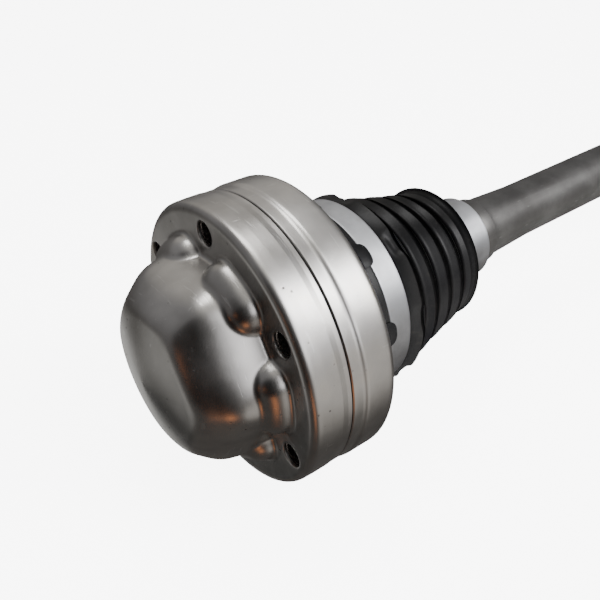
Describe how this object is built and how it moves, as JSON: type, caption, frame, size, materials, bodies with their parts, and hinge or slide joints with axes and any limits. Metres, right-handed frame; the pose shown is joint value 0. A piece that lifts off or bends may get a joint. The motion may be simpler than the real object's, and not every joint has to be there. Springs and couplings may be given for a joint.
{
  "type": "cv joint",
  "caption": "Plunging ball joint for a drive shaft, with pressed covers, ribbed rubber boot, band clamps and a splined shaft.",
  "frame": {"origin": "centre of the bolt circle on the end cover's front face", "axes": "+X along the shaft axis from the joint towards the shaft's free splined end, +Z through one bolt hole"},
  "size_m": [0.3292, 0.1024, 0.1024],
  "materials": {
    "pressed_steel": "satin, worn, with fine scratches",
    "gasket": "matte fibre",
    "race_steel": "ground",
    "cage_steel": "ground",
    "ball_steel": "polished",
    "shaft_steel": "dark satin",
    "spring_steel": "oiled",
    "boot_rubber": "satin",
    "clamp_metal": "matte, pale"
  },
  "bodies": {
    "housing": {"end_cover": "pressed_steel", "rear_cover": "pressed_steel", "front_gasket": "gasket", "rear_gasket": "gasket", "outer_race": "race_steel", "large_clamp": "clamp_metal", "boot": "boot_rubber"},
    "shaft_group": {"shaft": "shaft_steel", "inner_race": "race_steel", "circlip": "spring_steel", "dished_washer": "spring_steel", "thrust_ring": "spring_steel", "small_clamp": "clamp_metal"},
    "cage_group": {"cage": "cage_steel", "ball_2": "ball_steel", "ball_5": "ball_steel"},
    "rolling_ball_1": {"ball_1": "ball_steel"},
    "rolling_ball_3": {"ball_3": "ball_steel"},
    "rolling_ball_4": {"ball_4": "ball_steel"},
    "rolling_ball_6": {"ball_6": "ball_steel"}
  },
  "joints": [
    {"name": "shaft_tilt", "type": "hinge", "parent": "housing", "child": "shaft_group", "pos_m": [0.0162, 0, 0], "axis": [0, 1, 0], "range_deg": [-20, 20], "deforming": ["boot"]},
    {"name": "cage_tilt", "type": "hinge", "parent": "housing", "child": "cage_group", "pos_m": [0.0162, 0, 0], "axis": [0, 1, 0], "range_deg": [-10, 10]},
    {"name": "ball_1_roll", "type": "hinge", "parent": "cage_group", "child": "rolling_ball_1", "pos_m": [0.0162, -0.01575, 0.02728], "axis": [0, 0.866, 0.5], "range_deg": [-25.58, 25.58]},
    {"name": "ball_3_roll", "type": "hinge", "parent": "cage_group", "child": "rolling_ball_3", "pos_m": [0.0162, -0.01575, -0.02728], "axis": [0, -0.866, 0.5], "range_deg": [-25.58, 25.58]},
    {"name": "ball_4_roll", "type": "hinge", "parent": "cage_group", "child": "rolling_ball_4", "pos_m": [0.0162, 0.01575, -0.02728], "axis": [0, -0.866, -0.5], "range_deg": [-25.58, 25.58]},
    {"name": "ball_6_roll", "type": "hinge", "parent": "cage_group", "child": "rolling_ball_6", "pos_m": [0.0162, 0.01575, 0.02728], "axis": [0, 0.866, -0.5], "range_deg": [-25.58, 25.58]}
  ],
  "couplings": [
    {"joint": "cage_tilt", "follows": "shaft_tilt", "ratio": 0.5},
    {"joint": "ball_1_roll", "follows": "shaft_tilt", "ratio": 1.2288},
    {"joint": "ball_3_roll", "follows": "shaft_tilt", "ratio": -1.2288},
    {"joint": "ball_4_roll", "follows": "shaft_tilt", "ratio": -1.2288},
    {"joint": "ball_6_roll", "follows": "shaft_tilt", "ratio": 1.2288}
  ]
}
